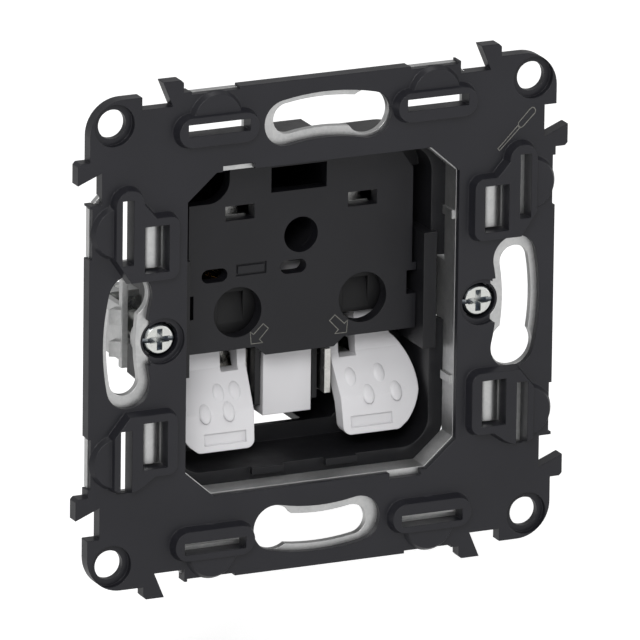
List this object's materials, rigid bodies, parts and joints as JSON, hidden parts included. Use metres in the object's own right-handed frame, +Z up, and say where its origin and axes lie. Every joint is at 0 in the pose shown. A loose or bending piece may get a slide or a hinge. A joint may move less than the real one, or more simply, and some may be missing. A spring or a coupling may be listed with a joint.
{
  "type": "two-pin wall socket mechanism",
  "caption": "Flush-mounting two-pin wall socket mechanism without its cover: slotted frame on a steel plate, insert with pin holes, wire-release levers and fixing claws.",
  "frame": {"origin": "centre of the corner hole pattern in the wall face, the back of the chassis plate", "axes": "+Y into the wall, +Z up, +X to the right seen from the room"},
  "size_m": [0.074, 0.0299, 0.074],
  "materials": {
    "frame_plastic": "fine matt, moulded",
    "insert_plastic": "satin, moulded",
    "housing_plastic": "matt, moulded",
    "shutter_plastic": "matt, moulded",
    "light_plastic": "satin, moulded",
    "galvanised_steel": "galvanised sheet",
    "zinc_steel": "zinc plated",
    "spring_steel": "bright spring steel",
    "clip_steel": "bright spring steel",
    "pin_steel": "drawn",
    "tinned_brass": "tinned",
    "contact_alloy": "satin"
  },
  "bodies": {
    "left_lever_body": {"left_lever": "light_plastic"},
    "left_screw_body": {"left_claw_screw": "zinc_steel"},
    "left_nut_body": {"left_claw_nut": "zinc_steel"},
    "left_claw_body": {"left_claw": "galvanised_steel"},
    "right_lever_body": {"right_lever": "light_plastic"},
    "right_screw_body": {"right_claw_screw": "zinc_steel"},
    "right_nut_body": {"right_claw_nut": "zinc_steel"},
    "right_claw_body": {"right_claw": "galvanised_steel"},
    "shutter_body": {"shutter": "shutter_plastic"},
    "socket_body": {"support_frame": "frame_plastic", "chassis_plate": "galvanised_steel", "rear_housing": "housing_plastic", "rear_cover": "housing_plastic", "front_insert": "insert_plastic", "centre_block": "light_plastic", "shutter_springs": "spring_steel", "left_lever_pin": "pin_steel", "left_contact": "contact_alloy", "left_terminal": "tinned_brass", "left_clamp_spring": "spring_steel", "left_cover_clip": "clip_steel", "right_lever_pin": "pin_steel", "right_contact": "contact_alloy", "right_terminal": "tinned_brass", "right_clamp_spring": "spring_steel", "right_cover_clip": "clip_steel"}
  },
  "joints": [
    {"name": "left_lever_press", "type": "hinge", "parent": "socket_body", "child": "left_lever_body", "pos_m": [-0.0105, 0.0119, -0.0057], "axis": [1, 0, 0], "range_deg": [0, 12], "stiffness_Nm_per_rad": 1, "springref_deg": -2.86, "deforming": ["left_clamp_spring"]},
    {"name": "left_claw_nut_travel", "type": "slide", "parent": "socket_body", "child": "left_nut_body", "axis": [0, -1, 0], "range_m": [0, 0.0045]},
    {"name": "left_claw_screw_turn", "type": "hinge", "parent": "socket_body", "child": "left_screw_body", "pos_m": [-0.02415, 0, 0], "axis": [0, 1, 0], "range_deg": [0, 2314]},
    {"name": "left_claw_spread", "type": "hinge", "parent": "left_nut_body", "child": "left_claw_body", "pos_m": [-0.02415, 0.0123, 0], "axis": [0, 0, -1], "range_deg": [0, 25]},
    {"name": "right_lever_press", "type": "hinge", "parent": "socket_body", "child": "right_lever_body", "pos_m": [0.0105, 0.0119, -0.0057], "axis": [1, 0, 0], "range_deg": [0, 12], "stiffness_Nm_per_rad": 1, "springref_deg": -2.86, "deforming": ["right_clamp_spring"]},
    {"name": "right_claw_nut_travel", "type": "slide", "parent": "socket_body", "child": "right_nut_body", "axis": [0, -1, 0], "range_m": [0, 0.0045]},
    {"name": "right_claw_screw_turn", "type": "hinge", "parent": "socket_body", "child": "right_screw_body", "pos_m": [0.02415, 0, 0], "axis": [0, 1, 0], "range_deg": [0, 2314]},
    {"name": "right_claw_spread", "type": "hinge", "parent": "right_nut_body", "child": "right_claw_body", "pos_m": [0.02415, 0.0123, 0], "axis": [0, 0, 1], "range_deg": [0, 25]},
    {"name": "shutter_slide", "type": "slide", "parent": "socket_body", "child": "shutter_body", "axis": [0, 0, 1], "range_m": [0, 0.0064], "stiffness_N_per_m": 60, "springref_m": -0.008, "deforming": ["shutter_springs"]}
  ],
  "couplings": [
    {"joint": "left_claw_screw_turn", "follows": "left_claw_nut_travel", "rad_per_m": 8975},
    {"joint": "left_claw_spread", "follows": "left_claw_nut_travel", "rad_per_m": 96.96},
    {"joint": "right_claw_screw_turn", "follows": "right_claw_nut_travel", "rad_per_m": 8975},
    {"joint": "right_claw_spread", "follows": "right_claw_nut_travel", "rad_per_m": 96.96}
  ]
}
